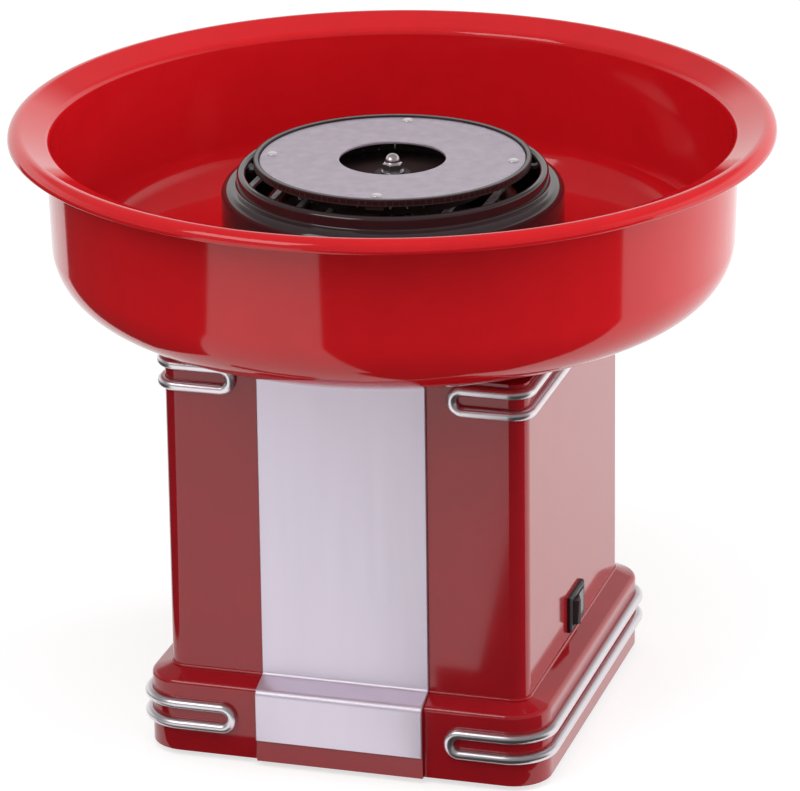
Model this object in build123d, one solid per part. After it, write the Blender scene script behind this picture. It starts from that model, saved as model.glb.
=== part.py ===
from build123d import *
from math import atan2, cos, hypot, radians, sin, tan
import os

# Tabletop candy floss machine: a square tower on a wider plinth carries a motor. The motor's
# shaft stands up through a stepped drum and spins a flat head in the middle of a wide bowl.
# Millimetres, +Z up. X = 0, Y = 0 is the spin axis, Z = 0 is what the rubber feet stand on,
# and -Y is the front with the broad metal stripe. The rocker switch is on the +X side.

# ---------------------------------------------------------------- driving dimensions
# plinth and tower: both keep the same corner centres, so their corners run parallel
CORNER_CENTRE = 66.5        # each corner centre's distance from the axis, along X and Y
PLINTH_REACH = 15.0         # plinth face outside the corner centres, also its corner radius
TOWER_REACH = 6.6           # tower face outside the corner centres, also its corner radius
WALL = 2.5                  # plastic wall of plinth and tower
FOOT_DROP = 2.5             # feet reach this far below the plinth
PLINTH_EDGE = 29.5          # plinth's lower edge up to the shoulder's outer edge
SHOULDER_RISE = 3.0         # the shoulder climbs this much towards the tower
SHOULDER_ROUND = 2.2        # radius on the shoulder's outer edge
COLLAR_H = 3.0              # plinth collar standing up inside the tower
TOWER_H = 128.0             # tower wall alone
DECK_T = 3.0                # deck plate that closes the tower
SLIP = 0.2                  # gap between parts that slide together

# front stripe
STRIPE_W = 67.8
STRIPE_T = 1.2
STRIPE_BEND = 2.0           # inside radius of its bends
STRIPE_LOW = 9.0            # its lower end above the plinth's lower edge
STRIPE_TOP_GAP = 1.0        # its upper end below the deck's top
BOSS_STEP = 2.0             # the plinth's front stands out this far behind the stripe
STUD_R = 1.5                # studs on the back of stripe and loops
STUD_IN = 2.6               # how far a stud reaches past the wall
PUSH_NUT_R = 4.0
PUSH_NUT_T = 0.8

# chrome wire loops
WIRE_R = 2.1
LOOP_PITCH = 8.6            # lower wire to upper wire
LOOP_PROUD = 0.9            # wire centre outside the face: the wire lies in a groove
GROOVE_GAP = 0.05
LOOP_START = 42.3           # loop end's distance from the middle of the front
PLINTH_LOOP_Z = 11.8        # lower wire above the plinth's lower edge
TOWER_LOOP_DROP = 9.3       # lower wire below the deck
STUD_SIDE_Y = 20.0          # studs on the side run
STUD_FRONT_X = 55.0         # studs on the front and back runs

# bowl
RIM_R = 150.0
BOWL_T = 2.0
FLANGE_W = 14.5             # rim's edge outside the wall just under the flange
BOWL_DRAFT = 1.3            # the wall closes in by this much further down
BOWL_WALL_H = 42.0          # straight wall
BOWL_CURVE_H = 31.5         # from the straight wall down to the flat floor
BOWL_CURVE_R = 23.0         # tighter bend under the wall
BOWL_FLAT_R = 72.0          # flat floor that rests on the deck
BOWL_HOLE_GAP = 0.6         # bowl's hole round the drum
FLANGE_RISE = 5.9           # flange climbs this much to the rim's corner, before rounding
CREST_IN = 4.1              # crest inside the rim's outer edge
RIM_HEM = 4.8               # turned-down edge, from the rim's corner before rounding

# stationary drum round the head
DRUM_R = 67.4
DRUM_T = 2.0
DRUM_STEP_H = 52.6          # deck up to the step
DRUM_ROUND = 4.0            # rounded edge of the step
DRUM_NECK_R = 61.2          # outside of the narrower neck above the step
NECK_H = 5.3                # step up to the lip's crest
LIP_ROUND = 1.5
LIP_BORE_R = 57.6           # opening that the head spins in
DRUM_FLANGE_R = 55.0        # inner edge of the foot flange
DRUM_FLANGE_T = 2.5

# heater inside the drum
PAN_GAP = 0.2
PAN_T = 1.2
PAN_DEPTH = 16.0
PAN_HOLE_R = 14.0
GRILLE_T = 1.6
GRILLE_BAR_W = 2.3
GRILLE_PITCH = 13.0
GRILLE_FIRST = 15.4         # first bar off the middle
GRILLE_BARS = 4             # on each side
GRILLE_RIM_W = 3.5
HEATER_R = 47.0
HEATER_TUBE_R = 3.25
HEATER_ABOVE_PAN = 8.6      # tube centre above the pan's floor
HEATER_OPEN = 24.0          # degrees left open between the two legs
INSULATOR_COUNT = 3
PILLAR_R = 3.5
PILLAR_AT = 36.0            # pillars stand at plus and minus this in X and Y

# spinning head
PLATE_R = 52.2
PLATE_T = 1.2
PLATE_HOLE_R = 20.9
PLATE_SINK = 0.65           # plate top below the rim ring's top
HEAD_RIM_T = 2.0            # rim ring, in radius
HEAD_RIM_H = 2.7
HEAD_ABOVE_LIP = 4.95       # rim ring's top above the drum's lip
CUP_R = 38.0
CUP_T = 1.5
CUP_DEPTH = 9.5
CUP_SLOTS = 36
CUP_SLOT_W = 0.8
CUP_SLOT_H = 4.0
HUB_R = 7.0
HUB_H = 4.7
RIVET_CIRCLE = 47.6
RIVET_TURN = 9.0            # degrees
RIVET_HEAD_R = 2.0
RIVET_HEAD_H = 0.9
RIVET_R = 1.2
ARM_W = 7.0                 # four arms under the plate reach out to the rivets
NUT_AF = 7.0                # M4 acorn nut, across flats
NUT_HEX_H = 3.2
NUT_DOME_R = 2.9
NUT_H = 6.9
WASHER_R = 4.5
WASHER_T = 0.8
STUD_THREAD_R = 2.0         # M4 end of the shaft
COLLAR_R = 9.0
COLLAR_LEN = 8.0

# motor and shaft
SHAFT_R = 2.5
RUN = 0.05                  # radial running gap of the shaft in its bushes
BUSH_R = 5.0
BEARING_FLANGE_R = 14.0
BEARING_FLANGE_T = 2.5
BEARING_BOSS_R = 7.5
BEARING_BOSS_H = 12.0
BRACKET_T = 2.0
BRACKET_W = 84.0
BRACKET_D = 52.0
BRACKET_DROP = 6.0          # grommet height between deck and bracket
BRACKET_BOLT_X = 34.0
BRACKET_BOLT_Y = 18.0
GROMMET_R = 5.0
MOTOR_R = 22.0
MOTOR_CAN_T = 1.5
MOTOR_CAN_H = 52.0
MOTOR_CAP_H = 5.0
MOTOR_SCREW_AT = 15.0
MAGNET_T = 4.0
MAGNET_GAP = 0.1
MAGNET_H = 40.0
CORE_R = 14.6
CORE_H = 30.0
CORE_SLOTS = 6
COIL_R = 11.0
COIL_H = 4.0
COMMUTATOR_R = 6.0
COMMUTATOR_H = 6.0
BRUSH_GAP = 0.1
FAN_R = 27.0
FAN_HUB_R = 6.0
FAN_H = 9.0
FAN_BLADES = 8
FAN_BELOW = 3.0             # fan below the motor's lower cap
SHAFT_TAIL = 2.0

# fasteners
SCREW_R = 1.45
SCREW_HEAD_R = 3.0
SCREW_HEAD_H = 1.8
SCREW_PLAY = 0.25           # clearance hole round a screw
PILOT_GAP = 0.05            # pilot hole round a thread
NUT_T = 2.4
NUT_WIDTH = 5.5

# tower posts and bottom plate
POST_R = 5.0
POST_AT = 64.0
POST_SCREW = 12.0           # thread length in a post
PAD_T = 3.0
BOSS_R = 4.0
BOSS_X = 74.3
BOSS_Y = 35.0
BOTTOM_T = 2.0
BOTTOM_UP = 1.0             # plate above the plinth's lower edge
BOTTOM_GAP = 0.3
FOOT_R = 9.0
FOOT_AT = 57.0
FOOT_STEM_R = 3.0
VENT_R = 3.0
VENT_PITCH = 11.0
VENT_RINGS = 2

# rocker switch
SWITCH_Z = 11.0             # its middle above the tower's foot
BEZEL_Y = 21.0
BEZEL_Z = 15.0
BEZEL_T = 1.8
SWITCH_BODY_Y = 19.0
SWITCH_BODY_Z = 12.8
SWITCH_BODY_D = 15.0
SWITCH_WALL = 1.0
ROCKER_GAP = 0.35
ROCKER_TILT = 10.0          # degrees either side of level
ROCKER_AXIS_IN = 1.5        # pivot inside the tower's face
ROCKER_PIN_R = 1.2
BLADE_W = 4.8
BLADE_T = 0.8
BLADE_L = 8.0

# cord entry and wiring
GLAND_BORE_R = 3.6
GLAND_R = 6.5
GLAND_LIP = 1.5
GLAND_GROOVE = 1.5
GLAND_X = 0.0
GLAND_Z = 13.5              # above the plinth's lower edge
BLOCK_Y = 58.0
BLOCK_SIZE = (22.0, 12.0, 10.0)
BOARD_SIZE = (44.0, 26.0, 1.6)
BOARD_AT = (-38.0, 30.0)
BOARD_UP = 6.0
DIODE_R = 2.6
DIODE_L = 8.0
LEAD_R = 1.1

# ---------------------------------------------------------------- heights that follow
Z_PLINTH = FOOT_DROP
Z_SHOULDER = Z_PLINTH + PLINTH_EDGE
Z_TOWER = Z_SHOULDER + SHOULDER_RISE
Z_DECK = Z_TOWER + TOWER_H                      # underside of the deck
Z_SEAT = Z_DECK + DECK_T                        # deck top: bowl and drum stand here
Z_STEP = Z_SEAT + DRUM_STEP_H
Z_LIP = Z_STEP + NECK_H
Z_STEP_IN = Z_STEP - DRUM_T                     # underside of the step, inside the drum
Z_GRILLE = Z_STEP_IN - PAN_GAP - GRILLE_T
Z_PAN = Z_GRILLE - PAN_DEPTH
Z_HEATER = Z_PAN + PAN_T + HEATER_ABOVE_PAN
Z_HEAD_TOP = Z_LIP + HEAD_ABOVE_LIP
Z_PLATE = Z_HEAD_TOP - PLATE_SINK - PLATE_T     # plate's underside
Z_CUP = Z_PLATE - CUP_DEPTH                     # cup's underside
Z_HUB = Z_CUP + HUB_H
Z_NUT = Z_HUB + WASHER_T
Z_BRACKET = Z_DECK - BRACKET_DROP - BRACKET_T
Z_CAN = Z_BRACKET - MOTOR_CAP_H - MOTOR_CAN_H
Z_CAP = Z_CAN - MOTOR_CAP_H
Z_FAN = Z_CAP - FAN_BELOW - FAN_H
Z_BOTTOM = Z_PLINTH + BOTTOM_UP
Z_FLOOR = Z_BOTTOM + BOTTOM_T
PLINTH_FACE = CORNER_CENTRE + PLINTH_REACH
TOWER_FACE = CORNER_CENTRE + TOWER_REACH
HEAD_R = PLATE_R + HEAD_RIM_T + SLIP
DRUM_BORE_R = DRUM_R - DRUM_T
SWITCH_MID = Z_TOWER + SWITCH_Z
UP = (Align.CENTER, Align.CENTER, Align.MIN)
FOUR = [(1, 1), (-1, 1), (-1, -1), (1, -1)]


# ---------------------------------------------------------------- helpers
def rod(radius, z0, z1, x=0.0, y=0.0):
    """Upright cylinder between two heights."""
    return Pos(x, y, z0) * Cylinder(radius, z1 - z0, align=UP)


def tube(outer, inner, z0, z1, x=0.0, y=0.0):
    """Upright tube between two heights."""
    return rod(outer, z0, z1, x, y) - rod(inner, z0 - 1, z1 + 1, x, y)


def block(x0, x1, y0, y1, z0, z1):
    """Box between two corners."""
    middle = Pos((x0 + x1) / 2, (y0 + y1) / 2, z0)
    return middle * Box(x1 - x0, y1 - y0, z1 - z0, align=UP)


def rounded(reach, z0, z1):
    """Square block whose faces stand `reach` outside the corner centres."""
    side = 2 * (CORNER_CENTRE + reach)
    return Pos(0, 0, z0) * extrude(RectangleRounded(side, side, reach), z1 - z0)


def turned(points, rounds=None):
    """Solid turned about Z from (radius, height) points. rounds maps a point's place to its radius."""
    outline = make_face(Polyline(*points, close=True))
    for place, radius in (rounds or {}).items():
        x, y = points[place]
        corner = outline.vertices().sort_by_distance((x, y, 0))[0]
        outline = fillet(corner, radius)
    return revolve(Plane.XZ * outline, Axis.Z, 360)


def carried_round(section):
    """A closed section, X = reach outside the corner centres, carried round the square."""
    upright = Plane.XZ * section
    side = Pos(CORNER_CENTRE, CORNER_CENTRE, 0) * extrude(upright, 2 * CORNER_CENTRE)
    corner = Pos(CORNER_CENTRE, CORNER_CENTRE, 0) * revolve(upright, Axis.Z, 90)
    ring = side + corner
    for turn in (90, 180, 270):
        ring = ring + Rot(0, 0, turn) * (side + corner)
    return ring


def hexagon(across, z0, z1, x=0.0, y=0.0):
    """Upright hexagonal prism."""
    return Pos(x, y, z0) * extrude(RegularPolygon(across / 2, 6, major_radius=False), z1 - z0)


def along_x(radius, x0, x1, y, z):
    """Cylinder along X."""
    return Pos((x0 + x1) / 2, y, z) * Rot(0, 90, 0) * Cylinder(radius, abs(x1 - x0))


def along_y(radius, y0, y1, x, z):
    """Cylinder along Y."""
    return Pos(x, (y0 + y1) / 2, z) * Rot(90, 0, 0) * Cylinder(radius, abs(y1 - y0))


def everywhere(piece, places):
    """Copies of a piece, kept as separate solids."""
    return Compound(children=[Pos(*place) * piece for place in places])


def pan_screw(z_face, length, x, y, below=False):
    """Pan-head screw. Its head lies on z_face and its shank runs away from the head."""
    way = 1 if below else -1
    head = rod(SCREW_HEAD_R, min(z_face, z_face - way * SCREW_HEAD_H),
               max(z_face, z_face - way * SCREW_HEAD_H), x, y)
    head = chamfer(head.edges().filter_by(GeomType.CIRCLE).sort_by(Axis.Z)[0 if below else -1], 0.4)
    shank = rod(SCREW_R, min(z_face, z_face + way * length), max(z_face, z_face + way * length), x, y)
    return head + shank


def bent_run(points, bends, closed=False):
    """Straight runs through 3-D points, with an arc of the given radius at each bend."""
    points = [Vector(point) for point in points]
    around = zip(points, points[1:], points[2:])
    if closed:
        around = zip(points[-1:] + points, points, points[1:] + points[:1])
    pieces = []
    at = None if closed else points[0]
    for (a, b, c), bend in zip(around, bends):
        back, on = (a - b).normalized(), (c - b).normalized()
        half = radians(back.get_angle(on)) / 2
        reach = bend / tan(half)
        middle = b + (back + on).normalized() * (bend / sin(half) - bend)
        start, end = b + back * reach, b + on * reach
        if at is not None:
            pieces.append(Edge.make_line(at, start))
        pieces.append(Edge.make_three_point_arc(start, middle, end))
        at = end
    last = pieces[0] @ 0 if closed else points[-1]
    return Wire(pieces + [Edge.make_line(at, last)])


def wire_along(path, radius):
    """Round wire along a path."""
    return sweep(Plane(origin=path @ 0, z_dir=path % 0) * Circle(radius), path=path)


def loop_wire(reach, z_low, radius):
    """Right-hand wire loop: front, side and back in one closed run of two parallel wires."""
    face = CORNER_CENTRE + reach + LOOP_PROUD
    start = LOOP_START + WIRE_R
    run = [(start, -face), (face, -face), (face, face), (start, face)]
    points = [(x, y, z_low) for x, y in run]
    points += [(x, y, z_low + LOOP_PITCH) for x, y in reversed(run)]
    tip = LOOP_PITCH / 2 - 0.05
    corner = reach + LOOP_PROUD
    return wire_along(bent_run(points, [tip, corner, corner, tip] * 2, closed=True), radius)


def loop_studs(reach, z_low, radius, depth):
    """Studs on the lower wire that pass through the wall, right-hand side."""
    wire = CORNER_CENTRE + reach + LOOP_PROUD
    end = CORNER_CENTRE + reach - WALL - depth
    studs = [along_y(radius, side * end, side * wire, STUD_FRONT_X, z_low) for side in (-1, 1)]
    studs += [along_x(radius, end, wire, y, z_low) for y in (-STUD_SIDE_Y, STUD_SIDE_Y)]
    return studs


def loop_nuts(reach, z_low):
    """Push-on nuts inside the wall, right-hand side."""
    inner = CORNER_CENTRE + reach - WALL
    nuts = []
    for side in (-1, 1):
        nut = along_y(PUSH_NUT_R, side * (inner - PUSH_NUT_T), side * inner, STUD_FRONT_X, z_low)
        nuts.append(nut - along_y(STUD_R + PILOT_GAP, side * (inner - WALL), side * (inner + WALL),
                                  STUD_FRONT_X, z_low))
        nut = along_x(PUSH_NUT_R, inner - PUSH_NUT_T, inner, side * STUD_SIDE_Y, z_low)
        nuts.append(nut - along_x(STUD_R + PILOT_GAP, inner - WALL, inner + WALL,
                                  side * STUD_SIDE_Y, z_low))
    return nuts


def both_sides(piece):
    """A right-hand piece and its left-hand mirror image."""
    return [piece, mirror(piece, about=Plane.YZ)]


def parallel(points, gap):
    """Open outline a fixed gap to the left of another one, with mitred corners."""
    moved = []
    for (x0, y0), (x1, y1) in zip(points, points[1:]):
        length = hypot(x1 - x0, y1 - y0)
        shift = Vector(-(y1 - y0), x1 - x0) * (gap / length)
        moved.append((Vector(x0, y0) + shift, Vector(x1, y1) + shift))
    result = [moved[0][0]]
    for (a, b), (c, d) in zip(moved, moved[1:]):
        u, v = b - a, d - c
        t = ((c - a).X * v.Y - (c - a).Y * v.X) / (u.X * v.Y - u.Y * v.X)
        result.append(a + u * t)
    return result + [moved[-1][1]]


def lead(points):
    """Insulated wire along straight runs joined by arcs."""
    bends = []
    for a, b, c in zip(points, points[1:], points[2:]):
        before, after = Vector(b) - Vector(a), Vector(c) - Vector(b)
        turn = radians(before.get_angle(after))
        bends.append(0.45 * min(before.length, after.length) / tan(turn / 2))
    return wire_along(bent_run(points, bends), LEAD_R)


# ---------------------------------------------------------------- plinth, tower and deck
Z_PLINTH_LOOP = Z_PLINTH + PLINTH_LOOP_Z
Z_TOWER_LOOP = Z_DECK - TOWER_LOOP_DROP
COLLAR_OUT = TOWER_REACH - WALL - SLIP
BOSS_FACE = PLINTH_FACE + BOSS_STEP
POSTS = [(POST_AT * x, POST_AT * y) for x, y in FOUR]
BASE_BOSSES = [(BOSS_X * x, BOSS_Y * y) for x, y in FOUR]
FEET = [(FOOT_AT * x, FOOT_AT * y) for x, y in FOUR]
PILLARS = [(PILLAR_AT * x, PILLAR_AT * y) for x, y in FOUR]
BRACKET_BOLTS = [(BRACKET_BOLT_X * x, BRACKET_BOLT_Y * y) for x, y in FOUR]
GUARD_SCREW_AT = (DRUM_FLANGE_R + DRUM_BORE_R) / 2
GUARD_SCREWS = [(GUARD_SCREW_AT * cos(radians(a)), GUARD_SCREW_AT * sin(radians(a)))
                for a in (0, 90, 180, 270)]
BEARING_SCREW_AT = BEARING_FLANGE_R - SCREW_HEAD_R - SLIP
BEARING_SCREWS = [(BEARING_SCREW_AT * cos(radians(a)), BEARING_SCREW_AT * sin(radians(a)))
                  for a in (90, 210, 330)]
STRIPE_STUDS = [Z_TOWER + TOWER_H * share for share in (0.25, 0.75)]
PILOT_R = SCREW_R + PILOT_GAP
CLEAR_R = SCREW_R + SCREW_PLAY
STUD_HOLE_R = STUD_R + SLIP / 2


def plinth_shell():
    inside = PLINTH_REACH - WALL
    section = make_face(Polyline(
        (PLINTH_REACH, Z_PLINTH), (PLINTH_REACH, Z_SHOULDER), (TOWER_REACH, Z_TOWER),
        (COLLAR_OUT, Z_TOWER), (COLLAR_OUT, Z_TOWER + COLLAR_H),
        (COLLAR_OUT - WALL, Z_TOWER + COLLAR_H), (COLLAR_OUT - WALL, Z_TOWER - WALL),
        (inside, Z_SHOULDER - WALL), (inside, Z_PLINTH), close=True))
    edge = section.vertices().sort_by_distance((PLINTH_REACH, Z_SHOULDER, 0))[0]
    return carried_round(fillet(edge, SHOULDER_ROUND))


def plinth_front():
    """Raised panel behind the stripe, from the tower's foot to the lower edge."""
    back = PLINTH_FACE - WALL / 2
    side = make_face(Polyline(
        (-BOSS_FACE, Z_PLINTH), (-BOSS_FACE, Z_SHOULDER), (-TOWER_FACE, Z_TOWER),
        (-back, Z_SHOULDER - WALL / 2), (-back, Z_PLINTH), close=True))
    edge = side.vertices().sort_by_distance((-BOSS_FACE, Z_SHOULDER, 0))[0]
    side = fillet(edge, STRIPE_BEND)
    return Pos(-STRIPE_W / 2, 0, 0) * extrude(Plane.YZ * side, STRIPE_W)


base_plinth = plinth_shell() + plinth_front()
for x, y in POSTS:
    sx, sy = x / abs(x), y / abs(y)
    edge = CORNER_CENTRE + COLLAR_OUT - WALL / 2
    low = POST_AT - POST_R - SLIP
    base_plinth += block(*sorted((sx * low, sx * edge)), *sorted((sy * low, sy * edge)),
                         Z_TOWER - PAD_T, Z_TOWER)
    base_plinth -= rod(CLEAR_R, Z_TOWER - PAD_T - 1, Z_TOWER + 1, x, y)
    base_plinth -= rod(POST_R + SLIP, Z_TOWER, Z_TOWER + COLLAR_H + 1, x, y)
for x, y in BASE_BOSSES:
    base_plinth += rod(BOSS_R, Z_FLOOR, Z_SHOULDER + SHOULDER_RISE / 6, x, y)
    base_plinth -= rod(PILOT_R, Z_FLOOR - 1, Z_FLOOR + POST_SCREW, x, y)
for groove in both_sides(loop_wire(PLINTH_REACH, Z_PLINTH_LOOP, WIRE_R + GROOVE_GAP)):
    base_plinth -= groove
for stud in loop_studs(PLINTH_REACH, Z_PLINTH_LOOP, STUD_HOLE_R, STUD_IN):
    for hole in both_sides(stud):
        base_plinth -= hole
Z_GLAND = Z_PLINTH + GLAND_Z
base_plinth -= along_y(GLAND_R + SLIP / 2, PLINTH_FACE - WALL - 1, PLINTH_FACE + 1, GLAND_X, Z_GLAND)

cut_y = SWITCH_BODY_Y + 2 * SLIP
cut_z = SWITCH_BODY_Z + 2 * SLIP
tower_housing = rounded(TOWER_REACH, Z_TOWER, Z_DECK)
tower_housing -= rounded(TOWER_REACH - WALL, Z_TOWER - 1, Z_DECK + 1)
for x, y in POSTS:
    sx, sy = x / abs(x), y / abs(y)
    web = TOWER_FACE - WALL / 2
    tower_housing += rod(POST_R, Z_TOWER, Z_DECK, x, y)
    tower_housing += block(*sorted((x, sx * web)), y - WALL / 2, y + WALL / 2,
                           Z_TOWER + COLLAR_H + SLIP, Z_DECK)
    tower_housing += block(x - WALL / 2, x + WALL / 2, *sorted((y, sy * web)),
                           Z_TOWER + COLLAR_H + SLIP, Z_DECK)
    tower_housing -= rod(PILOT_R, Z_TOWER - 1, Z_TOWER + POST_SCREW, x, y)
    tower_housing -= rod(PILOT_R, Z_DECK - POST_SCREW, Z_DECK + 1, x, y)
tower_housing -= block(TOWER_FACE - WALL - 1, TOWER_FACE + 1, -cut_y / 2, cut_y / 2,
                       SWITCH_MID - cut_z / 2, SWITCH_MID + cut_z / 2)
for z in STRIPE_STUDS:
    tower_housing -= along_y(STUD_HOLE_R, -TOWER_FACE - 1, -TOWER_FACE + WALL + 1, 0, z)
tower_grooves = both_sides(loop_wire(TOWER_REACH, Z_TOWER_LOOP, WIRE_R + GROOVE_GAP))
for groove in tower_grooves:
    tower_housing -= groove
for stud in loop_studs(TOWER_REACH, Z_TOWER_LOOP, STUD_HOLE_R, STUD_IN):
    for hole in both_sides(stud):
        tower_housing -= hole

SKIRT_H = 4.0               # deck skirt inside the tower
SKIRT_HALF = 50.0           # half its length on each side
SKIRT_T = 2.0
DECK_BOSS_H = 5.0           # bosses under the deck that take self-tapping screws
skirt_out = TOWER_FACE - WALL - SLIP
skirt = block(skirt_out - SKIRT_T, skirt_out, -SKIRT_HALF, SKIRT_HALF, Z_DECK - SKIRT_H, Z_DECK)
top_deck = rounded(TOWER_REACH, Z_DECK, Z_SEAT)
for turn in (0, 90, 180, 270):
    top_deck += Rot(0, 0, turn) * skirt
for x, y in GUARD_SCREWS + BEARING_SCREWS:
    top_deck += rod(BOSS_R, Z_DECK - DECK_BOSS_H, Z_DECK, x, y)
    top_deck -= rod(PILOT_R, Z_DECK - DECK_BOSS_H - 1, Z_SEAT + 1, x, y)
for x, y in BRACKET_BOLTS + PILLARS + POSTS:
    top_deck -= rod(CLEAR_R, Z_DECK - 1, Z_SEAT + 1, x, y)
for x, y in POSTS:
    top_deck -= Pos(x, y, Z_SEAT - SCREW_HEAD_H / 2) * Cone(
        CLEAR_R, SCREW_HEAD_R + SLIP / 2, SCREW_HEAD_H)
top_deck -= rod(BUSH_R, Z_DECK - 1, Z_SEAT + 1)
for groove in tower_grooves:
    top_deck -= groove
# ways through the deck for the heater's leads
LEAD_HOLES = [(PILLAR_AT / 2 * x, PILLAR_AT * y) for x, y in FOUR]
for x, y in LEAD_HOLES:
    top_deck -= rod(BOSS_R, Z_DECK - 1, Z_SEAT + 1, x, y)

# ---------------------------------------------------------------- stripe and chrome loops
back_line = [(-TOWER_FACE, Z_SEAT - STRIPE_TOP_GAP), (-TOWER_FACE, Z_TOWER),
             (-BOSS_FACE, Z_SHOULDER), (-BOSS_FACE, Z_PLINTH + STRIPE_LOW)]
front_line = parallel(back_line, -STRIPE_T)
back_edge = bent_run(back_line, [STRIPE_BEND, STRIPE_BEND])
front_edge = bent_run(front_line, [STRIPE_BEND - STRIPE_T, STRIPE_BEND + STRIPE_T])
stripe_section = make_face([*back_edge.edges(), *front_edge.edges(),
                            Line(back_edge @ 0, front_edge @ 0),
                            Line(back_edge @ 1, front_edge @ 1)])
front_stripe = Pos(-STRIPE_W / 2, 0, 0) * extrude(Plane.YZ * stripe_section, STRIPE_W)
stripe_nuts = []
for z in STRIPE_STUDS:
    front_stripe += along_y(STUD_R, -TOWER_FACE - STRIPE_T / 2, -TOWER_FACE + WALL + STUD_IN, 0, z)
    nut = along_y(PUSH_NUT_R, -TOWER_FACE + WALL, -TOWER_FACE + WALL + PUSH_NUT_T, 0, z)
    stripe_nuts.append(nut - along_y(STUD_R + PILOT_GAP, -TOWER_FACE, -TOWER_FACE / 2, 0, z))
stripe_push_nuts = Compound(children=stripe_nuts)

base_loop_right = loop_wire(PLINTH_REACH, Z_PLINTH_LOOP, WIRE_R)
for stud in loop_studs(PLINTH_REACH, Z_PLINTH_LOOP, STUD_R, STUD_IN):
    base_loop_right += stud
base_loop_left = mirror(base_loop_right, about=Plane.YZ)
tower_loop_right = loop_wire(TOWER_REACH, Z_TOWER_LOOP, WIRE_R)
for stud in loop_studs(TOWER_REACH, Z_TOWER_LOOP, STUD_R, STUD_IN):
    tower_loop_right += stud
tower_loop_left = mirror(tower_loop_right, about=Plane.YZ)
loop_push_nuts = []
for nut in loop_nuts(PLINTH_REACH, Z_PLINTH_LOOP) + loop_nuts(TOWER_REACH, Z_TOWER_LOOP):
    loop_push_nuts += both_sides(nut)
loop_push_nuts = Compound(children=loop_push_nuts)

# ---------------------------------------------------------------- underside
bottom_plate = rounded(PLINTH_REACH - WALL - BOTTOM_GAP, Z_BOTTOM, Z_FLOOR)
for x, y in BASE_BOSSES:
    bottom_plate -= rod(CLEAR_R, Z_BOTTOM - 1, Z_FLOOR + 1, x, y)
for x, y in FEET:
    bottom_plate -= rod(FOOT_STEM_R + SLIP / 2, Z_BOTTOM - 1, Z_FLOOR + 1, x, y)
vents = [(0, 0)]
for ring in range(1, VENT_RINGS + 1):
    for step in range(6 * ring):
        angle = radians(step * 60 / ring)
        vents.append((ring * VENT_PITCH * cos(angle), ring * VENT_PITCH * sin(angle)))
for x, y in vents:
    bottom_plate -= rod(VENT_R, Z_BOTTOM - 1, Z_FLOOR + 1, x, y)

FOOT_CAP_H = 1.5            # barb that holds a foot's stem in the plate
foot = rod(FOOT_R, 0, Z_BOTTOM)
foot = chamfer(foot.edges().filter_by(GeomType.CIRCLE).sort_by(Axis.Z)[0], 0.6)
foot += rod(FOOT_STEM_R, Z_BOTTOM, Z_FLOOR)
foot += rod(FOOT_STEM_R + FOOT_CAP_H, Z_FLOOR, Z_FLOOR + FOOT_CAP_H)
rubber_feet = everywhere(foot, FEET)
base_screw = pan_screw(Z_BOTTOM, POST_SCREW, 0, 0, below=True)
base_screws = everywhere(base_screw, BASE_BOSSES)
tower_screw = pan_screw(Z_TOWER - PAD_T, POST_SCREW, 0, 0, below=True)
tower_screws = everywhere(tower_screw, POSTS)
deck_screw = Pos(0, 0, Z_SEAT - SCREW_HEAD_H / 2) * Cone(SCREW_R, SCREW_HEAD_R, SCREW_HEAD_H)
deck_screw += rod(SCREW_R, Z_SEAT - POST_SCREW, Z_SEAT - SCREW_HEAD_H)
deck_screws = everywhere(deck_screw, POSTS)

gland_neck = along_y(GLAND_R, PLINTH_FACE - WALL, PLINTH_FACE, GLAND_X, Z_GLAND)
gland_lips = along_y(GLAND_R + GLAND_LIP, PLINTH_FACE, PLINTH_FACE + GLAND_GROOVE, GLAND_X, Z_GLAND)
gland_lips += along_y(GLAND_R + GLAND_LIP, PLINTH_FACE - WALL - GLAND_GROOVE, PLINTH_FACE - WALL,
                      GLAND_X, Z_GLAND)
cord_gland = gland_neck + gland_lips
cord_gland -= along_y(GLAND_BORE_R, PLINTH_FACE - 20, PLINTH_FACE + 20, GLAND_X, Z_GLAND)

# ---------------------------------------------------------------- rocker switch
PIVOT_X = TOWER_FACE - ROCKER_AXIS_IN
BEZEL_FACE = TOWER_FACE + BEZEL_T
pocket_y = SWITCH_BODY_Y / 2 - SWITCH_WALL
pocket_z = SWITCH_BODY_Z / 2 - SWITCH_WALL
rocker_r = pocket_y - ROCKER_GAP
rocker_z = pocket_z - ROCKER_GAP
switch_back = TOWER_FACE - SWITCH_BODY_D
bezel = block(TOWER_FACE, BEZEL_FACE, -BEZEL_Y / 2, BEZEL_Y / 2,
              SWITCH_MID - BEZEL_Z / 2, SWITCH_MID + BEZEL_Z / 2)
bezel = chamfer(bezel.edges().group_by(Axis.X)[-1], 0.6)
switch_housing = bezel + block(switch_back, TOWER_FACE, -SWITCH_BODY_Y / 2, SWITCH_BODY_Y / 2,
                               SWITCH_MID - SWITCH_BODY_Z / 2, SWITCH_MID + SWITCH_BODY_Z / 2)
switch_housing -= block(switch_back + SWITCH_WALL, BEZEL_FACE + 1, -pocket_y, pocket_y,
                        SWITCH_MID - pocket_z, SWITCH_MID + pocket_z)
switch_housing -= rod(ROCKER_PIN_R + RUN, SWITCH_MID - pocket_z - SWITCH_WALL / 2,
                      SWITCH_MID + pocket_z + SWITCH_WALL / 2, PIVOT_X, 0)

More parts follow.
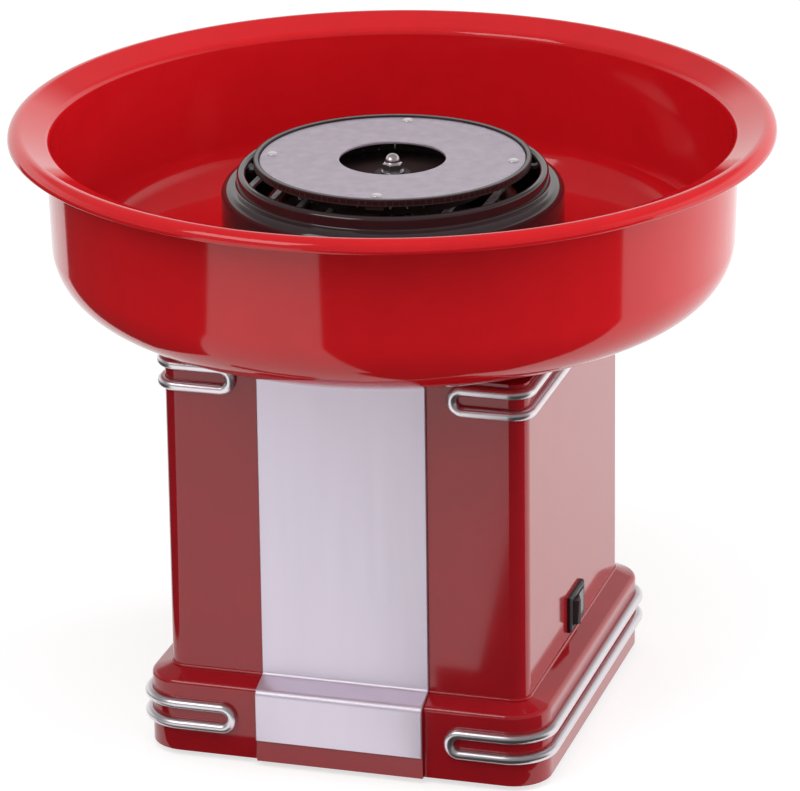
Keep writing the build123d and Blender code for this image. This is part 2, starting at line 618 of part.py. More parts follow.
# rocker drawn level about its pivot, then turned so that its front end stands out
valley = BEZEL_FACE + ROCKER_GAP - PIVOT_X
climb = tan(radians(ROCKER_TILT))
top_line = Polyline((0.5, -rocker_r), (valley + rocker_r * climb, -rocker_r), (valley, 0),
                    (valley + rocker_r * climb, rocker_r), (0.5, rocker_r), close=True)
rocker = extrude(make_face(top_line), 2 * rocker_z)
rocker = rocker & Cylinder(rocker_r, 2 * rocker_z, align=UP)
rocker += Cylinder(ROCKER_PIN_R + 1, 2 * rocker_z, align=UP)
pin_out = SWITCH_WALL / 2 + ROCKER_GAP - RUN
rocker += rod(ROCKER_PIN_R, -pin_out, 2 * rocker_z + pin_out)
switch_rocker = Pos(PIVOT_X, 0, SWITCH_MID - rocker_z) * Rot(0, 0, ROCKER_TILT) * rocker
blade = block(switch_back - BLADE_L, switch_back, -BLADE_W / 2, BLADE_W / 2,
              SWITCH_MID - BLADE_T / 2, SWITCH_MID + BLADE_T / 2)
switch_terminals = everywhere(blade, [(0, -SWITCH_BODY_Y / 4, 0), (0, SWITCH_BODY_Y / 4, 0)])

# ---------------------------------------------------------------- bowl
def bowl_middle_line():
    """Middle of the bowl's wall: flat floor, wide bend, tight bend, drafted wall, flange, hem."""
    half = BOWL_T / 2
    lean = atan2(BOWL_DRAFT, BOWL_WALL_H)
    top = Vector(RIM_R - FLANGE_W - half, Z_SEAT + BOWL_CURVE_H + BOWL_WALL_H)
    foot = top - Vector(BOWL_DRAFT, BOWL_WALL_H)
    tight = BOWL_CURVE_R - half
    near = foot - Vector(tight * cos(lean), -tight * sin(lean))
    floor = Z_SEAT + half
    across = near.X - BOWL_FLAT_R
    drop = near.Y - tight - floor
    turn = radians(90) - 2 * atan2(drop, across)
    wide = tight + across / cos(turn)
    far = Vector(BOWL_FLAT_R, floor + wide)

    def on(centre, radius, angle):
        return centre + Vector(radius * cos(angle), -radius * sin(angle))

    join = on(near, tight, turn)
    hem = Vector(RIM_R - half, top.Y + FLANGE_RISE)
    flange = bent_run([foot, top, hem, hem - Vector(0, RIM_HEM)], [WALL, CREST_IN - half])
    return [Line((DRUM_R + BOWL_HOLE_GAP + half, floor), far - Vector(0, wide)),
            ThreePointArc(far - Vector(0, wide), on(far, wide, (turn + radians(90)) / 2), join),
            ThreePointArc(join, on(near, tight, (turn + lean) / 2), foot),
            *flange.edges()]


bowl_section = make_face(offset(Wire(bowl_middle_line()), BOWL_T / 2, side=Side.BOTH))
bowl = revolve(Plane.XZ * bowl_section, Axis.Z, 360)

# ---------------------------------------------------------------- stationary drum and heater
drum_points = [
    (DRUM_FLANGE_R, Z_SEAT), (DRUM_R, Z_SEAT), (DRUM_R, Z_STEP), (DRUM_NECK_R, Z_STEP),
    (DRUM_NECK_R, Z_LIP), (LIP_BORE_R, Z_LIP), (LIP_BORE_R, Z_STEP_IN), (DRUM_BORE_R, Z_STEP_IN),
    (DRUM_BORE_R, Z_SEAT + DRUM_FLANGE_T), (DRUM_FLANGE_R, Z_SEAT + DRUM_FLANGE_T)]
head_guard = turned(drum_points, {2: DRUM_ROUND, 4: LIP_ROUND, 5: LIP_ROUND})
for x, y in GUARD_SCREWS:
    head_guard -= rod(CLEAR_R, Z_SEAT - 1, Z_SEAT + DRUM_FLANGE_T + 1, x, y)
guard_screw = pan_screw(Z_SEAT + DRUM_FLANGE_T, DRUM_FLANGE_T + DECK_T + DECK_BOSS_H - 1, 0, 0)
guard_screws = everywhere(guard_screw, GUARD_SCREWS)

PAN_R = DRUM_BORE_R - PAN_GAP
heater_pan = rod(PAN_R, Z_PAN, Z_GRILLE) - rod(PAN_R - PAN_T, Z_PAN + PAN_T, Z_GRILLE + 1)
heater_pan -= rod(PAN_HOLE_R, Z_PAN - 1, Z_PAN + PAN_T + 1)
for x, y in PILLARS:
    heater_pan -= rod(CLEAR_R, Z_PAN - 1, Z_PAN + PAN_T + 1, x, y)
heater_grille = tube(PAN_R, PAN_R - GRILLE_RIM_W, Z_GRILLE, Z_GRILLE + GRILLE_T)
for number in range(GRILLE_BARS):
    x = GRILLE_FIRST + number * GRILLE_PITCH
    bar = block(x - GRILLE_BAR_W / 2, x + GRILLE_BAR_W / 2, -PAN_R, PAN_R,
                Z_GRILLE, Z_GRILLE + GRILLE_T)
    for piece in both_sides(bar & rod(PAN_R - GRILLE_RIM_W / 2, Z_GRILLE, Z_GRILLE + GRILLE_T)):
        heater_grille += piece

LEG_FALL = 14.0             # legs reach this far below the tube's centre
leg_angle = radians(HEATER_OPEN / 2)
tube_ring = Rot(0, 0, 90 + HEATER_OPEN / 2) * revolve(
    Pos(HEATER_R, 0, Z_HEATER) * (Plane.XZ * Circle(HEATER_TUBE_R)), Axis.Z, 360 - HEATER_OPEN)
heater_ring = tube_ring
for side in (-1, 1):
    x, y = side * HEATER_R * sin(leg_angle), HEATER_R * cos(leg_angle)
    heater_ring += Pos(x, y, Z_HEATER) * Sphere(HEATER_TUBE_R)
    heater_ring += rod(HEATER_TUBE_R, Z_HEATER - LEG_FALL, Z_HEATER, x, y)
    heater_pan -= rod(HEATER_TUBE_R + SLIP, Z_PAN - 1, Z_PAN + PAN_T + 1, x, y)
INSULATOR_W = 8.0
insulator = block(HEATER_R - INSULATOR_W / 2, HEATER_R + INSULATOR_W / 2, -INSULATOR_W / 2,
                  INSULATOR_W / 2, Z_PAN + PAN_T, Z_HEATER - HEATER_TUBE_R / 2)
insulators = []
for number in range(INSULATOR_COUNT):
    turn = -90 + number * 360 / INSULATOR_COUNT
    seat = revolve(Pos(HEATER_R, 0, Z_HEATER) * (Plane.XZ * Circle(HEATER_TUBE_R + GROOVE_GAP)),
                   Axis.Z, 360)
    insulators.append(Rot(0, 0, turn) * insulator - seat)
heater_insulators = Compound(children=insulators)

NUT_OUT = 0.6               # thread showing past a nut
pillar = rod(PILLAR_R, Z_SEAT, Z_PAN)
pillar += rod(SCREW_R, Z_DECK - NUT_T - NUT_OUT, Z_PAN + PAN_T + NUT_T + NUT_OUT)
pan_pillars = everywhere(pillar, PILLARS)


def nut(z0):
    return hexagon(NUT_WIDTH, z0, z0 + NUT_T) - rod(PILOT_R, z0 - 1, z0 + NUT_T + 1)


pillar_nuts = Compound(children=[Pos(x, y, 0) * nut(z) for x, y in PILLARS
                                 for z in (Z_PAN + PAN_T, Z_DECK - NUT_T)])

# ---------------------------------------------------------------- motor and its mounting
CAP_BOSS_H = 2.0            # boss of each motor cap past the cap itself
BUSH_FIT = 0.03             # gap round a pressed bush
bearing_housing = rod(BEARING_FLANGE_R, Z_SEAT, Z_SEAT + BEARING_FLANGE_T)
bearing_housing += rod(BEARING_BOSS_R, Z_SEAT, Z_SEAT + BEARING_BOSS_H)
bearing_housing -= rod(BUSH_R + BUSH_FIT, Z_SEAT - 1, Z_SEAT + BEARING_BOSS_H + 1)
for x, y in BEARING_SCREWS:
    bearing_housing -= rod(CLEAR_R, Z_SEAT - 1, Z_SEAT + BEARING_FLANGE_T + 1, x, y)
bearing_screw = pan_screw(Z_SEAT + BEARING_FLANGE_T,
                          BEARING_FLANGE_T + DECK_T + DECK_BOSS_H - 1, 0, 0)
bearing_screws = everywhere(bearing_screw, BEARING_SCREWS)
upper_bush = tube(BUSH_R, SHAFT_R + RUN, Z_SEAT, Z_SEAT + BEARING_BOSS_H)

MOTOR_SCREWS = [(MOTOR_SCREW_AT, 0), (-MOTOR_SCREW_AT, 0)]
motor_bracket = block(-BRACKET_W / 2, BRACKET_W / 2, -BRACKET_D / 2, BRACKET_D / 2,
                      Z_BRACKET, Z_BRACKET + BRACKET_T)
motor_bracket = fillet(motor_bracket.edges().filter_by(Axis.Z), GROMMET_R)
motor_bracket -= rod(BEARING_BOSS_R + SLIP, Z_BRACKET - 1, Z_BRACKET + BRACKET_T + 1)
for x, y in BRACKET_BOLTS + MOTOR_SCREWS:
    motor_bracket -= rod(CLEAR_R, Z_BRACKET - 1, Z_BRACKET + BRACKET_T + 1, x, y)
grommet = tube(GROMMET_R, CLEAR_R, Z_BRACKET + BRACKET_T, Z_DECK)
bracket_grommets = everywhere(grommet, BRACKET_BOLTS)
bolt_len = Z_SEAT - Z_BRACKET + NUT_T + NUT_OUT
bracket_bolts = everywhere(pan_screw(Z_SEAT, bolt_len, 0, 0), BRACKET_BOLTS)
bracket_nuts = everywhere(nut(Z_BRACKET - NUT_T), BRACKET_BOLTS)

bush_len = MOTOR_CAP_H + CAP_BOSS_H
z_front = Z_BRACKET - MOTOR_CAP_H
motor_front_cap = rod(MOTOR_R, z_front, Z_BRACKET)
motor_front_cap += rod(BEARING_BOSS_R, Z_BRACKET, Z_BRACKET + CAP_BOSS_H)
motor_front_cap -= rod(BUSH_R + BUSH_FIT, z_front - 1, Z_BRACKET + CAP_BOSS_H + 1)
for x, y in MOTOR_SCREWS:
    motor_front_cap -= rod(PILOT_R, z_front - 1, Z_BRACKET + 1, x, y)
motor_rear_cap = rod(MOTOR_R, Z_CAP, Z_CAN) + rod(BEARING_BOSS_R, Z_CAP - CAP_BOSS_H, Z_CAP)
motor_rear_cap -= rod(BUSH_R + BUSH_FIT, Z_CAP - CAP_BOSS_H - 1, Z_CAN + 1)
motor_can = tube(MOTOR_R, MOTOR_R - MOTOR_CAN_T, Z_CAN, z_front)
motor_bushes = Compound(children=[
    tube(BUSH_R, SHAFT_R + RUN, z_front, z_front + bush_len),
    tube(BUSH_R, SHAFT_R + RUN, Z_CAP - CAP_BOSS_H, Z_CAN)])
motor_screws = everywhere(pan_screw(Z_BRACKET + BRACKET_T, BRACKET_T + MOTOR_CAP_H - 1, 0, 0),
                          MOTOR_SCREWS)

z_mid = (Z_CAN + z_front) / 2
magnet_out = MOTOR_R - MOTOR_CAN_T - MAGNET_GAP
magnet_ring = tube(magnet_out, magnet_out - MAGNET_T, z_mid - MAGNET_H / 2, z_mid + MAGNET_H / 2)
magnet_ring -= block(-MAGNET_T, MAGNET_T, -MOTOR_R, MOTOR_R, Z_CAN, z_front)
motor_magnets = Compound(children=magnet_ring.solids())
z_comm = z_mid - CORE_H / 2 - COIL_H - COMMUTATOR_H    # right under the lower coil
BRUSH_W = 5.0
BRUSH_H = 5.0
brush = block(COMMUTATOR_R + BRUSH_GAP, MOTOR_R - MOTOR_CAN_T - MAGNET_T, -BRUSH_W / 2,
              BRUSH_W / 2, Z_CAN, Z_CAN + BRUSH_H)
brush -= rod(COMMUTATOR_R + BRUSH_GAP, Z_CAN - 1, Z_CAN + BRUSH_H + 1)
motor_brushes = Compound(children=[brush, Rot(0, 0, 180) * brush])

# ---------------------------------------------------------------- spinning parts
THRUST_GAP = 0.3
THRUST_T = 1.0
z_tail = Z_FAN - SHAFT_TAIL
motor_shaft = rod(SHAFT_R, z_tail, Z_CUP) + rod(STUD_THREAD_R, Z_CUP, Z_NUT + NUT_H - NUT_DOME_R)
ON_SHAFT = SHAFT_R + BUSH_FIT
armature_core = tube(CORE_R, ON_SHAFT, z_mid - CORE_H / 2, z_mid + CORE_H / 2)
SLOT_W = 3.0
SLOT_DEPTH = 6.0
for number in range(CORE_SLOTS):
    slot = block(CORE_R - SLOT_DEPTH, CORE_R + 1, -SLOT_W / 2, SLOT_W / 2,
                 z_mid - CORE_H / 2 - 1, z_mid + CORE_H / 2 + 1)
    armature_core -= Rot(0, 0, number * 360 / CORE_SLOTS) * slot
armature_coils = Compound(children=[
    tube(COIL_R, ON_SHAFT, z_mid + CORE_H / 2, z_mid + CORE_H / 2 + COIL_H),
    tube(COIL_R, ON_SHAFT, z_mid - CORE_H / 2 - COIL_H, z_mid - CORE_H / 2)])
commutator = tube(COMMUTATOR_R, ON_SHAFT, z_comm, z_comm + COMMUTATOR_H)
thrust_washers = Compound(children=[
    tube(BUSH_R - 1, ON_SHAFT, z_front - THRUST_GAP - THRUST_T, z_front - THRUST_GAP),
    tube(BUSH_R - 1, ON_SHAFT, Z_SEAT + BEARING_BOSS_H + THRUST_GAP,
         Z_SEAT + BEARING_BOSS_H + THRUST_GAP + THRUST_T)])

FAN_PITCH = 35.0            # blade angle off upright, degrees
FAN_BLADE_T = 1.4
fan_blade = Pos(0, 0, Z_FAN + FAN_H / 2) * Rot(FAN_PITCH, 0, 0) * Box(
    FAN_R - FAN_HUB_R / 2, FAN_BLADE_T, FAN_H, align=(Align.MIN, Align.CENTER, Align.CENTER))
fan_blade = Pos(FAN_HUB_R / 2, 0, 0) * fan_blade
cooling_fan = rod(FAN_HUB_R, Z_FAN, Z_FAN + FAN_H)
for number in range(FAN_BLADES):
    cooling_fan += Rot(0, 0, number * 360 / FAN_BLADES) * fan_blade
cooling_fan -= rod(ON_SHAFT, Z_FAN - 1, Z_FAN + FAN_H + 1)

drive_collar = tube(COLLAR_R, ON_SHAFT, Z_CUP - COLLAR_LEN, Z_CUP)
set_screw_z = Z_CUP - COLLAR_LEN / 2
drive_collar -= along_x(PILOT_R, 0, COLLAR_R + 1, 0, set_screw_z)
collar_set_screw = along_x(SCREW_R, SHAFT_R + BUSH_FIT, COLLAR_R, 0, set_screw_z)

RIVETS = [(RIVET_CIRCLE * cos(radians(RIVET_TURN + 90 * k)),
           RIVET_CIRCLE * sin(radians(RIVET_TURN + 90 * k))) for k in range(4)]
ARM_T = 2.5                 # thickness of an arm
ring_in = PLATE_R + SLIP
head_cup = tube(CUP_R, CUP_R - CUP_T, Z_CUP, Z_PLATE) + rod(CUP_R, Z_CUP, Z_CUP + CUP_T)
head_cup += rod(HUB_R, Z_CUP, Z_HUB)
for number in range(4):
    arm = block(CUP_R - CUP_T / 2, ring_in + HEAD_RIM_T / 2, -ARM_W / 2, ARM_W / 2,
                Z_PLATE - ARM_T, Z_PLATE)
    head_cup += Rot(0, 0, RIVET_TURN + 90 * number) * arm
head_cup += tube(HEAD_R, ring_in, Z_HEAD_TOP - HEAD_RIM_H, Z_HEAD_TOP)
head_cup -= rod(STUD_THREAD_R + RUN, Z_CUP - 1, Z_HUB + 1)
slot_mid = (Z_CUP + CUP_T + Z_PLATE - ARM_T) / 2
for number in range(CUP_SLOTS):
    slot = block(CUP_R - 2 * CUP_T, CUP_R + 1, -CUP_SLOT_W / 2, CUP_SLOT_W / 2,
                 slot_mid - CUP_SLOT_H / 2, slot_mid + CUP_SLOT_H / 2)
    head_cup -= Rot(0, 0, (number + 0.5) * 360 / CUP_SLOTS) * slot
head_plate = tube(PLATE_R, PLATE_HOLE_R, Z_PLATE, Z_PLATE + PLATE_T)
for x, y in RIVETS:
    head_plate -= rod(RIVET_R + PILOT_GAP, Z_PLATE - 1, Z_PLATE + PLATE_T + 1, x, y)
    head_cup -= rod(RIVET_R + PILOT_GAP, Z_PLATE - ARM_T - 1, Z_PLATE + 1, x, y)
rivet = rod(RIVET_R, Z_PLATE - ARM_T, Z_PLATE + PLATE_T)
rivet += rod(RIVET_HEAD_R, Z_PLATE + PLATE_T, Z_PLATE + PLATE_T + RIVET_HEAD_H)
rivet = fillet(rivet.edges().filter_by(GeomType.CIRCLE).sort_by(Axis.Z)[-1], RIVET_HEAD_H * 0.8)
rivet += rod(RIVET_HEAD_R, Z_PLATE - ARM_T - RIVET_HEAD_H, Z_PLATE - ARM_T)
head_rivets = everywhere(rivet, RIVETS)
hub_washer = tube(WASHER_R, STUD_THREAD_R + RUN, Z_HUB, Z_NUT)
acorn_nut = hexagon(NUT_AF, Z_NUT, Z_NUT + NUT_HEX_H)
acorn_nut += rod(NUT_DOME_R, Z_NUT, Z_NUT + NUT_H - NUT_DOME_R)
acorn_nut += Pos(0, 0, Z_NUT + NUT_H - NUT_DOME_R) * Sphere(NUT_DOME_R)
acorn_nut -= rod(STUD_THREAD_R + PILOT_GAP, Z_NUT - 1, Z_NUT + NUT_H - NUT_DOME_R)

# ---------------------------------------------------------------- wiring inside the plinth
length, width, height = BLOCK_SIZE
terminal_block = block(-length / 2, length / 2, BLOCK_Y - width / 2, BLOCK_Y + width / 2,
                       Z_FLOOR, Z_FLOOR + height)
terminal_block = chamfer(terminal_block.edges().group_by(Axis.Z)[-1], 0.8)
long, wide_, thick = BOARD_SIZE
z_board = Z_FLOOR + BOARD_UP
rectifier_board = Pos(*BOARD_AT, z_board) * Box(long, wide_, thick, align=UP)
for row in (-0.25, 0.25):
    for column in (-0.2, 0.2):
        diode = along_x(DIODE_R, -DIODE_L / 2, DIODE_L / 2, wide_ * row, z_board + thick + DIODE_R / 2)
        rectifier_board += Pos(BOARD_AT[0] + long * column, BOARD_AT[1], 0) * diode
board_posts = everywhere(rod(BOSS_R / 2, Z_FLOOR, z_board),
                         [(BOARD_AT[0] - long * 0.4, BOARD_AT[1]), (BOARD_AT[0] + long * 0.4, BOARD_AT[1])])
blade_end = switch_back - BLADE_L
block_top = Z_FLOOR + height
entry = length / 2 - 2.0    # outer pair of wires in the terminal block
inner_entry = 4.0           # pair that goes up to the heater
blade_y = SWITCH_BODY_Y / 4
switch_lead = lead([(entry, BLOCK_Y, block_top), (entry, BLOCK_Y, block_top + 12),
                    (30, 40, block_top + 20), (blade_end - 14, blade_y, SWITCH_MID),
                    (blade_end, blade_y, SWITCH_MID)])
near_x = BOARD_AT[0] + long / 4
far_x = BOARD_AT[0] - long / 4
board_top = z_board + thick
board_lead = lead([(-entry, BLOCK_Y, block_top), (-entry, BLOCK_Y, block_top + 10),
                   (-18, 45, block_top + 12), (near_x, BOARD_AT[1], block_top + 12),
                   (near_x, BOARD_AT[1], board_top)])
brush_z = Z_CAN + BRUSH_H
motor_lead = lead([(far_x, BOARD_AT[1], board_top), (far_x, BOARD_AT[1], board_top + 45),
                   (-42, 12, brush_z), (-MOTOR_R - 10, 0, brush_z), (-MOTOR_R, 0, brush_z)])
leads = [switch_lead, board_lead, motor_lead]
hole_x, hole_y = LEAD_HOLES[0]
leg_x, leg_y = HEATER_R * sin(leg_angle), HEATER_R * cos(leg_angle)
for side in (-1, 1):
    leads.append(lead([
        (side * inner_entry, BLOCK_Y, block_top), (side * inner_entry, BLOCK_Y, Z_TOWER),
        (side * hole_x, hole_y, Z_CAN), (side * hole_x, hole_y, Z_SEAT + 10),
        (side * leg_x, leg_y, Z_PAN - 12), (side * leg_x, leg_y, Z_HEATER - LEG_FALL)]))
lead_wires = Compound(children=leads)

# ---------------------------------------------------------------- one file for each node
NODES = {
    "base_plinth": base_plinth, "tower_housing": tower_housing, "top_deck": top_deck,
    "front_stripe": front_stripe, "stripe_push_nuts": stripe_push_nuts,
    "base_loop_left": base_loop_left, "base_loop_right": base_loop_right,
    "tower_loop_left": tower_loop_left, "tower_loop_right": tower_loop_right,
    "loop_push_nuts": loop_push_nuts, "bottom_plate": bottom_plate, "rubber_feet": rubber_feet,
    "base_screws": base_screws, "tower_screws": tower_screws, "deck_screws": deck_screws,
    "cord_gland": cord_gland, "switch_housing": switch_housing, "switch_rocker": switch_rocker,
    "switch_terminals": switch_terminals, "bowl": bowl, "head_guard": head_guard,
    "guard_screws": guard_screws, "heater_pan": heater_pan, "heater_grille": heater_grille,
    "heater_ring": heater_ring, "heater_insulators": heater_insulators,
    "pan_pillars": pan_pillars, "pillar_nuts": pillar_nuts, "bearing_housing": bearing_housing,
    "bearing_screws": bearing_screws, "upper_bush": upper_bush, "motor_bracket": motor_bracket,
    "bracket_grommets": bracket_grommets, "bracket_bolts": bracket_bolts,
    "bracket_nuts": bracket_nuts, "motor_front_cap": motor_front_cap,
    "motor_rear_cap": motor_rear_cap, "motor_can": motor_can, "motor_bushes": motor_bushes,
    "motor_screws": motor_screws, "motor_magnets": motor_magnets, "motor_brushes": motor_brushes,
    "motor_shaft": motor_shaft, "armature_core": armature_core, "armature_coils": armature_coils,
    "commutator": commutator, "thrust_washers": thrust_washers, "cooling_fan": cooling_fan,
    "drive_collar": drive_collar, "collar_set_screw": collar_set_screw, "head_cup": head_cup,
    "head_plate": head_plate, "head_rivets": head_rivets, "hub_washer": hub_washer,
    "acorn_nut": acorn_nut, "terminal_block": terminal_block, "rectifier_board": rectifier_board,
    "board_posts": board_posts, "lead_wires": lead_wires}

os.makedirs("parts", exist_ok=True)
for name, shape in NODES.items():
    export_step(shape, f"parts/{name}.step")
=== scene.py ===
"""Looks of a tabletop candy floss machine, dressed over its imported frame.

Lengths are written in millimetres, in the frame's own axes, and turned into metres by MM.
"""
import math

import bmesh
import bpy
from mathutils import Matrix, Vector


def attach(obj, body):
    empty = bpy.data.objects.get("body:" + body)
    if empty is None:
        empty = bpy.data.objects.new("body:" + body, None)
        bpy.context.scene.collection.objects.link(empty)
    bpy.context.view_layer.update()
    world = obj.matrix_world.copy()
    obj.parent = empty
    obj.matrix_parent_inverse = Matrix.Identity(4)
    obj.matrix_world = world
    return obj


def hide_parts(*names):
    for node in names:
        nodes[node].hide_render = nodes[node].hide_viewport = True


MM = 0.001
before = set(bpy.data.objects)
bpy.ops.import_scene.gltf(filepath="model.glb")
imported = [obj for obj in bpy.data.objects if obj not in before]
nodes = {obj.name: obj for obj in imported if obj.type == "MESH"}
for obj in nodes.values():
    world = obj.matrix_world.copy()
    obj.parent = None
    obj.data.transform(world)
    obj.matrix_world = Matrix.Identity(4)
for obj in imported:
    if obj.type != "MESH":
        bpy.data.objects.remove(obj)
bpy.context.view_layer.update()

# ---------------------------------------------------------------- sizes shared with the frame
Z_TOWER = 35.0              # tower's foot, on the plinth's shoulder
Z_SEAT = 166.0              # top of the tower's deck
TOWER_FACE = 73.1           # from the middle to the tower's face
TOWER_CORNER = 6.6
PLINTH_CORNER = 15.0
CORNER_CENTRE = 66.5        # centre of both corner roundings, from the middle

BOSS_FACE = 83.5            # front of the plinth behind the stripe
Z_BOSS = 32.17              # where the stripe bends down over the plinth's front
STRIPE_W = 67.8
STRIPE_T = 1.2
STRIPE_TOP = 165.0
STRIPE_FOOT = 11.5
STRIPE_BEND = 2.6
STRIPE_LIFT = 0.55          # stripe's lower bend above the tower's foot
STRIPE_EDGE = 0.4

WIRE_R = 2.1
WIRE_PROUD = 0.9            # wire's middle in front of the face behind it
LOOP_PITCH = 8.6            # between the two wires of a loop
LOOP_START = 44.4           # from the middle to a loop's rounded end
LOOP_TIP = LOOP_PITCH / 2 - 0.05
Z_PLINTH_WIRE = 14.3
Z_TOWER_WIRE = 153.7
BEAD_R = 0.75
BEAD_LIFT = 0.3

RIM_R = 150.0
BOWL_T = 2.0
BOWL_FLAT = 72.0            # radius of the bowl's flat floor
WALL_TOP = (134.5, 239.5)   # radius and height of the bend between wall and flange
WALL_H = 42.0
WALL_DRAFT = 1.3            # how much the wall leans out over its height
WALL_BEND = 22.0            # tight bend at the wall's foot
FLANGE_RISE = 5.9
HEM_DROP = 4.8
HOLE_GAP = 0.6              # between the bowl's hole and the drum

DRUM_R = 67.4
DRUM_T = 2.0
DRUM_FOOT = 55.0            # inner radius of the drum's foot
Z_STEP = 218.6              # drum's step
LIP_R = 61.2
LIP_T = 3.6
Z_LIP = 223.9

RING_R = 54.4               # ring on the edge of the head
RING_IN = 52.35
Z_RING = (226.1, 228.88)
PLATE_R = 52.2
PLATE_HOLE = 20.9
Z_PLATE = (227.0, 228.2)
RIVETS = 4
RIVET_AT = 47.6
RIVET_TURN = 9              # degrees from the X axis to the first rivet
RIVET_R = 2.05
Z_HUB = 222.2               # hub's top, under the washer
WASHER_R = 4.5
WASHER_T = 0.8
NUT_BORE = 2.1
NUT_FLAT = 3.5              # half of the nut's width across flats
NUT_POINT = 4.1             # its chamfered points
DOME_R = 2.9
Z_DOME = 227.0

SIDES = 224                 # steps round a turned piece
SMALL_SIDES = 32
COAT_ROUGH = 0.05
SHARP_ANGLE = 28            # degrees


# ---------------------------------------------------------------- outlines
def rounded(points, closed=True, step=8.0):
    """Points whose corners are arcs. Each point is its coordinates, then its corner's radius.

    step is the angle in degrees between an arc's points."""
    result = []
    last = len(points) - 1
    for place, point in enumerate(points):
        here = Vector(point[:-1])
        radius = point[-1]
        if radius == 0 or (not closed and place in (0, last)):
            result.append(here)
            continue
        back = (Vector(points[place - 1][:-1]) - here).normalized()
        on = (Vector(points[(place + 1) % len(points)][:-1]) - here).normalized()
        half = back.angle(on) / 2
        centre = here + (back + on).normalized() * (radius / math.sin(half))
        start = here + back * (radius / math.tan(half)) - centre
        end = here + on * (radius / math.tan(half)) - centre
        sweep = start.angle(end)
        aside = (end - start * math.cos(sweep)) / math.sin(sweep)
        count = max(3, round(math.degrees(sweep) / step))
        for number in range(count + 1):
            angle = sweep * number / count
            result.append(centre + start * math.cos(angle) + aside * math.sin(angle))
    return result


def side_of(line, place):
    """Unit normal of a 2-D line at one of its points, to the left of its direction."""
    before = line[max(place - 1, 0)]
    after = line[min(place + 1, len(line) - 1)]
    along = (after - before).normalized()
    return Vector((-along.y, along.x))


def thickened(line, half):
    """Closed outline half a thickness to each side of a 2-D line, with round ends."""
    left = [point + side_of(line, k) * half for k, point in enumerate(line)]
    right = [point - side_of(line, k) * half for k, point in enumerate(line)]

    def cap(place, sign):
        normal = side_of(line, place) * sign
        out = Vector((normal.y, -normal.x))
        return [line[place] + (normal * math.cos(a) + out * math.sin(a)) * half
                for a in (math.radians(d) for d in (30, 60, 90, 120, 150))]

    return left + cap(len(line) - 1, 1) + right[::-1] + cap(0, -1)


# ---------------------------------------------------------------- meshes
def tidy(mesh):
    """Joins doubled points, turns all faces outward and smooths them."""
    shape = bmesh.new()
    shape.from_mesh(mesh)
    bmesh.ops.remove_doubles(shape, verts=shape.verts, dist=1e-7)
    bmesh.ops.recalc_face_normals(shape, faces=shape.faces)
    for face in shape.faces:
        face.smooth = True
    shape.to_mesh(mesh)
    shape.free()


def grid_mesh(name, rows, wrap_rows, wrap_columns):
    """Quads over rows of points in millimetres."""
    mesh = bpy.data.meshes.new(name)
    width = len(rows[0])
    points = [tuple(Vector(point) * MM) for row in rows for point in row]
    faces = []
    for i in range(len(rows) if wrap_rows else len(rows) - 1):
        for j in range(width if wrap_columns else width - 1):
            a, b = i * width, ((i + 1) % len(rows)) * width
            k = (j + 1) % width
            faces.append((a + j, b + j, b + k, a + k))
    mesh.from_pydata(points, [], faces)
    tidy(mesh)
    return mesh


def turned_rows(outline, steps=SIDES, x=0.0, y=0.0, reach=None):
    """Rows of a closed (radius, height) outline turned about an upright line.

    reach(angle) caps the radius, which cuts flats on the turned shape."""
    rows = []
    for number in range(steps):
        angle = math.tau * number / steps
        row = []
        for radius, height in outline:
            if reach:
                radius = min(radius, reach(angle))
            row.append((x + radius * math.cos(angle), y + radius * math.sin(angle), height))
        rows.append(row)
    return rows


def joined(name, meshes):
    """One mesh from several."""
    shape = bmesh.new()
    for mesh in meshes:
        shape.from_mesh(mesh)
        bpy.data.meshes.remove(mesh)
    result = bpy.data.meshes.new(name)
    shape.to_mesh(result)
    shape.free()
    return result


def piece(name, mesh, body, slot, stands_for=(), weighted=True, finish=None):
    """Adds a mesh to the scene on a body, with the look of a material slot or a look of its own."""
    item = bpy.data.objects.new(name, mesh)
    bpy.context.scene.collection.objects.link(item)
    mesh.materials.append(LOOKS[finish or slot])
    if weighted:
        item.modifiers.new("even_normals", "WEIGHTED_NORMAL").keep_sharp = True
    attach(item, body)
    if stands_for:
        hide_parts(*stands_for)
    return item


# ---------------------------------------------------------------- materials
def linear(value):
    value /= 255
    return value / 12.92 if value <= 0.04045 else ((value + 0.055) / 1.055) ** 2.4


